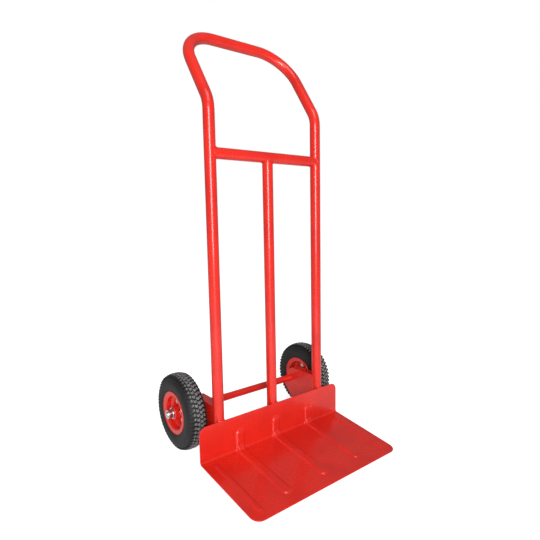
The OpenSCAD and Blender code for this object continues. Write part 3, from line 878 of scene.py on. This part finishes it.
@dataclass
class Tyre:
    """A pneumatic tyre with a lugged tread, drawn round Z with +Z outboard."""

    side: Side
    finishes: Finishes
    place: Matrix
    pitches: int = 54
    lug_depth: float = 5.2 * MM
    seat_radius: float = 62.0 * MM
    seat_half: float = 25.6 * MM
    power: float = 2 / 2.5
    samples: int = 96
    steps: int = 144
    edge_room: float = 0.6 * MM
    rib: float = 0.5 * MM
    lug_chamfer: float = 0.7 * MM
    lug_root: float = 1.0 * MM
    clearance: float = 0.05 * MM

    def __post_init__(self) -> None:
        """Reads the tyre's size from the frame."""
        low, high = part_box(self.side.node("tyre"))
        self.radius = (high.z - low.z) / 2
        self.half = (high.x - low.x) / 2
        self.crown = self.radius - self.lug_depth
        self.widest = self.radius - self.half + 1.5 * MM
        self.surface = self._surface()

    def _surface(self) -> list[tuple[float, float, float]]:
        """The carcass from the crown's middle down one shoulder, as (arc length, radius, z)."""
        out, length = [], 0.0
        for i in range(self.samples + 1):
            angle = math.pi / 2 * (1 - i / self.samples)
            z = (self.half - self.edge_room) * max(0.0, math.cos(angle)) ** self.power
            r = self.widest + (self.crown - self.widest) * max(0.0, math.sin(angle)) ** self.power
            if out:
                length += math.hypot(r - out[-1][1], z - out[-1][2])
            out.append((length, r, z))
        return out

    def on_surface(self, across: float, off: float) -> tuple[float, float]:
        """A point near the carcass.

        Args:
            across: Distance from the crown's middle, along the carcass.
            off: Height above the carcass.

        Returns:
            Its radius and z.
        """
        away = abs(across)
        index = next((i for i, p in enumerate(self.surface) if p[0] >= away), self.samples)
        index = max(1, index)
        a, b = self.surface[index - 1], self.surface[index]
        share = (away - a[0]) / (b[0] - a[0])
        r, z = a[1] + share * (b[1] - a[1]), a[2] + share * (b[2] - a[2])
        run = math.hypot(b[1] - a[1], b[2] - a[2])
        r += off * (b[2] - a[2]) / run
        z -= off * (b[1] - a[1]) / run
        return r, math.copysign(z, across)

    def carcass(self) -> list[tuple[float, float]]:
        """The outline of the carcass: outer skin with ribs, then the inner skin."""
        skin = [(r, z) for _, r, z in self.surface[::3]]
        wall = []
        for i in range(1, 25):
            share = i / 24
            r = self.widest + (self.seat_radius - self.widest) * share
            bulge = self.half - self.edge_room - self.seat_half
            z = self.seat_half + bulge * math.cos(math.pi / 2 * share) ** 0.9
            ribs = sum(eased(1 - abs(share - at) * 30) for at in (0.35, 0.62))
            wall.append((r, z + self.rib * ribs))
        outer = skin + wall
        inner = [(r - 5.0 * MM, max(0.0, z - 4.5 * MM)) for r, z in skin[:-4]]
        inner += [(r + 1.0 * MM, z - 5.0 * MM) for r, z in wall[8:]]
        outer_mirror = [(r, -z) for r, z in outer if z > 0][::-1]
        inner_mirror = [(r, -z) for r, z in inner if z > 0]
        return outer_mirror + outer + inner[::-1] + inner_mirror

    def lug(self, shape: Shape, outline: Outline, height: float) -> list:
        """One tread block.

        Args:
            shape: Where it is added.
            outline: Its corners as (along, across), along as a share of the pitch.
            height: How far it stands off the carcass.

        Returns:
            Its vertices.
        """
        before = set(shape.bm.verts)
        pitch = math.tau * self.radius / self.pitches
        flat = [(along * pitch, across) for along, across in outline]
        top = shape.prism(flat, -self.lug_root, height)
        edges = {e for v in top for e in v.link_edges if all(w in top for w in e.verts)}
        bmesh.ops.bevel(
            shape.bm, geom=list(edges), offset=self.lug_chamfer, offset_type="OFFSET",
            segments=1, profile=0.5, affect="EDGES", clamp_overlap=True, material=-1,
        )
        verts = [v for v in shape.bm.verts if v not in before]
        for vert in verts:
            along, across, off = vert.co
            r, z = self.on_surface(across, off)
            r = min(r, self.radius - self.clearance)
            z = math.copysign(min(abs(z), self.half - self.clearance), z)
            angle = along / self.radius
            vert.co = Vector((r * math.cos(angle), r * math.sin(angle), z))
        return verts

    def tread(self, shape: Shape) -> None:
        """Every lug: two zigzag middle rows, two shoulder rows and the bars that wrap the edge."""
        full = self.lug_depth
        rows: list[tuple[list[tuple[float, float]], float]] = []
        for sign in (-1, 1):
            shift = 0.25 * sign
            middle = [(0.06, 0.9), (0.66, 0.9), (0.94, 4.8), (0.66, 9.2), (0.06, 9.2), (0.34, 4.8)]
            shoulder = [(-0.08, 11.4), (0.52, 11.4), (0.72, 21.5), (0.12, 21.5)]
            bar = [(0.14, 23.6), (0.6, 23.6), (0.5, 31.5), (0.14, 31.5)]
            for outline, height in ((middle, full), (shoulder, full * 0.96), (bar, full * 0.2)):
                rows.append(([(a + shift, sign * w * MM) for a, w in outline], height))
        made: list = []
        for outline, height in rows:
            made += self.lug(shape, outline, height)
        faces = {f for v in made for f in v.link_faces}
        edges = {e for v in made for e in v.link_edges}
        bmesh.ops.spin(
            shape.bm, geom=[*made, *edges, *faces], cent=(0, 0, 0), axis=(0, 0, 1), dvec=(0, 0, 0),
            angle=math.tau * (self.pitches - 1) / self.pitches, steps=self.pitches - 1,
            use_merge=False, use_duplicate=True,
        )

    def build(self) -> None:
        """Builds the tyre as one piece."""
        shape = Shape()
        self.tread(shape)
        shape.lathe(self.carcass(), self.steps)
        shape.piece(
            f"{self.side.word}_lugged_tyre", self.finishes["tyre_rubber"],
            self.side.node("wheel"), self.place, [self.side.node("tyre")], smooth=0.7,
        )


@dataclass
class Wheel:
    """One wheel, drawn round Z with +Z outboard and +X up, then placed on its axle."""

    side: Side
    stance: Stance
    finishes: Finishes

    def __post_init__(self) -> None:
        """Finds the wheel's middle from its joint."""
        joint = next(j for j in frame["joints"] if j["child"] == self.side.node("wheel"))
        turn = Matrix(((0, 0, 1, 0), (0, -1, 0, 0), (1, 0, 0, 0), (0, 0, 0, 1)))
        lean = Matrix.Rotation(-self.stance.lean, 4, "X")
        mirror = Matrix.Diagonal((self.side.value, 1, 1, 1))
        self.place = Matrix.Translation(Vector(joint["pos_m"])) @ lean @ mirror @ turn

    def build(self) -> None:
        """Builds the wheel's finer pieces."""
        Tyre(self.side, self.finishes, self.place).build()


# ------------------------------------------------------------------ stage


@dataclass
class Studio:
    """White floor, soft lights and the camera."""

    eye: tuple[float, float, float] = (-0.837, -0.983, 0.754)
    heading: float = 39.15
    pitch: float = 10.32
    roll: float = 1.835
    lens: float = 30.22
    shift: float = 0.0082
    ambient: float = 0.25
    floor_glow: float = 0.80

    def camera(self) -> None:
        """Places the camera by its heading, its pitch below level and its roll."""
        heading, pitch, roll = (math.radians(a) for a in (self.heading, self.pitch, self.roll))
        level = Vector((math.sin(heading), math.cos(heading), 0.0))
        ahead = math.cos(pitch) * level - Vector((0.0, 0.0, math.sin(pitch)))
        right = Vector((math.cos(heading), -math.sin(heading), 0.0))
        up = right.cross(ahead)
        across = math.cos(roll) * right + math.sin(roll) * up
        above = math.cos(roll) * up - math.sin(roll) * right
        turn = Matrix((across, above, -ahead)).transposed().to_4x4()
        data = bpy.data.cameras.new("camera")
        data.lens = self.lens
        data.sensor_width = 36.0
        data.shift_y = self.shift
        camera = bpy.data.objects.new("camera", data)
        camera.matrix_world = Matrix.Translation(self.eye) @ turn
        bpy.context.scene.collection.objects.link(camera)
        bpy.context.scene.camera = camera

    def panel(
        self, name: str, at: tuple[float, float, float], size: tuple[float, float], watts: float
    ) -> None:
        """A soft light aimed at the truck's middle.

        Args:
            name: The light's name.
            at: Where it is.
            size: Its width and height.
            watts: Its power.
        """
        data = bpy.data.lights.new(name, "AREA")
        data.shape = "RECTANGLE"
        data.size, data.size_y = size
        data.energy = watts
        light = bpy.data.objects.new(name, data)
        aim = Vector((0.0, 0.0, 0.45)) - Vector(at)
        turn = aim.to_track_quat("-Z", "Y").to_matrix().to_4x4()
        light.matrix_world = Matrix.Translation(at) @ turn
        bpy.context.scene.collection.objects.link(light)

    def floor(self) -> None:
        """A pale, faintly clouded floor that looks white to the eye, with soft shadows."""
        shape = Shape()
        bmesh.ops.create_grid(shape.bm, x_segments=8, y_segments=8, size=30.0)
        mesh = bpy.data.meshes.new("floor")
        shape.bm.to_mesh(mesh)
        shape.bm.free()
        g = Graph("floor")
        tone = g.noise(3.0, 2.0).between(0.3, 0.7)
        seen = g.node("ShaderNodeLightPath", {}, {}, "Is Camera Ray")
        mesh.materials.append(
            g.surface(
                Base_Color=g.blend(tone, (0.93, 0.93, 0.93), (0.95, 0.95, 0.95)),
                Roughness=0.9 - tone * 0.05, Specular_IOR_Level=0.1,
                Emission_Color=g.blend(seen, (0.12, 0.12, 0.12), (1.0, 1.0, 1.0)),
                Emission_Strength=self.floor_glow,
            )
        )
        floor = bpy.data.objects.new("floor", mesh)
        bpy.context.scene.collection.objects.link(floor)

    def sky(self) -> None:
        """A surround that is white to the eye and lights the truck more softly."""
        world = bpy.data.worlds.new("surround")
        world.use_nodes = True
        tree = world.node_tree
        seen = tree.nodes.new("ShaderNodeLightPath").outputs["Is Camera Ray"]
        strength = tree.nodes.new("ShaderNodeMapRange")
        strength.inputs["To Min"].default_value = self.ambient
        strength.inputs["To Max"].default_value = 1.0
        background = tree.nodes["Background"]
        background.inputs["Color"].default_value = (1.0, 1.0, 1.0, 1.0)
        tree.links.new(seen, strength.inputs["Value"])
        tree.links.new(strength.outputs["Result"], background.inputs["Strength"])
        bpy.context.scene.world = world

    def build(self) -> None:
        """Sets the stage."""
        self.floor()
        self.sky()
        self.camera()
        self.panel("key", (-1.5, -2.3, 1.3), (0.9, 1.5), 62.0)
        self.panel("top", (-0.6, -1.4, 3.2), (1.6, 1.6), 26.0)
        bpy.context.scene.view_settings.view_transform = "Standard"


def main() -> None:
    """Builds the truck's looks in order."""
    logging.basicConfig(level=logging.INFO, format="%(name)s: %(message)s")
    finishes = Finishes()
    finishes.dress_frame()
    stance = Stance()
    ToePlate(stance, finishes).build()
    Welds(stance, finishes).build()
    for side in Side:
        Wheel(side, stance, finishes).build()
    Studio().build()


if __name__ == "__main__":
    main()
